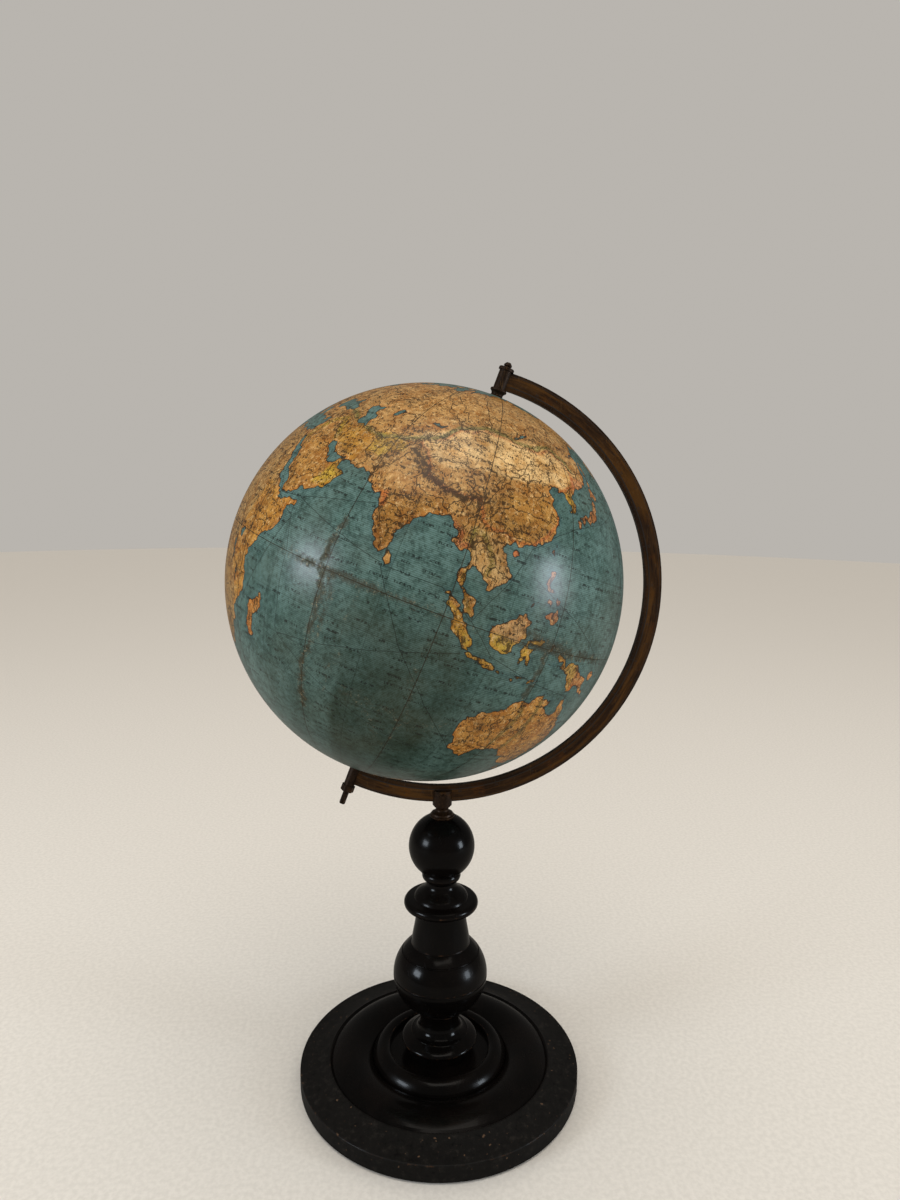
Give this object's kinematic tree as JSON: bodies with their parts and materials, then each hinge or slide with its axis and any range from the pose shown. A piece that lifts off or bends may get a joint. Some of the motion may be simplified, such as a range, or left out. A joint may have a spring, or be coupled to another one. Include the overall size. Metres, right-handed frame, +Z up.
{
  "type": "desk globe on stand",
  "caption": "Desk globe of printed paper gores on a hollow ball, turning on a tilted axle in a brass half meridian, on a turned black wooden stand.",
  "frame": {"origin": "centre of the felt's underside, on the axis of the turned stand, where the globe rests on a desk", "axes": "+Z up along the turned column; the half meridian lies in the XZ plane, open towards -X, and the axle's north end leans towards +X"},
  "size_m": [0.3586, 0.32, 0.622],
  "materials": {
    "base_wood": "ebonised turned wood, satin rim and glossy middle",
    "column_wood": "ebonised turned wood, French polished",
    "felt": "thin wool felt",
    "steel": "darkened iron",
    "brass_fittings": "dark brown patina",
    "brass_band": "brown patina, rubbed brighter in places",
    "brass_bush": "plain turned",
    "papier_mache": "papier-mache with a plaster skin",
    "inner_wood": "bare beech",
    "map_paper": "colour-printed paper under yellowed varnish"
  },
  "bodies": {
    "stand": {"felt_pad": "felt", "base_disc": "base_wood", "base_washer": "steel", "base_screw": "steel", "pedestal": "column_wood", "baluster": "column_wood", "collar": "column_wood", "ball": "column_wood", "ball_washer": "brass_fittings", "fork_stud": "steel", "meridian_fork": "brass_fittings", "fork_pin": "brass_fittings", "half_meridian": "brass_band", "axle": "steel", "north_sleeve": "brass_fittings", "south_sleeve": "brass_fittings", "north_cap": "brass_fittings", "south_nut": "steel"},
    "globe": {"north_shell": "papier_mache", "south_shell": "papier_mache", "joint_strip": "papier_mache", "north_pole_block": "inner_wood", "south_pole_block": "inner_wood", "north_bush": "brass_bush", "south_bush": "brass_bush", "axis_tube": "inner_wood", "north_collar": "brass_fittings", "south_collar": "brass_fittings", "north_gore_01": "map_paper", "north_gore_02": "map_paper", "north_gore_03": "map_paper", "north_gore_04": "map_paper", "north_gore_05": "map_paper", "north_gore_06": "map_paper", "north_gore_07": "map_paper", "north_gore_08": "map_paper", "north_gore_09": "map_paper", "north_gore_10": "map_paper", "north_gore_11": "map_paper", "north_gore_12": "map_paper", "south_gore_01": "map_paper", "south_gore_02": "map_paper", "south_gore_03": "map_paper", "south_gore_04": "map_paper", "south_gore_05": "map_paper", "south_gore_06": "map_paper", "south_gore_07": "map_paper", "south_gore_08": "map_paper", "south_gore_09": "map_paper", "south_gore_10": "map_paper", "south_gore_11": "map_paper", "south_gore_12": "map_paper"}
  },
  "joints": [
    {"name": "globe_spin", "type": "hinge", "parent": "stand", "child": "globe", "pos_m": [-0.01595, 0, 0.44372], "axis": [0.3453, 0, 0.9385], "continuous": true}
  ]
}
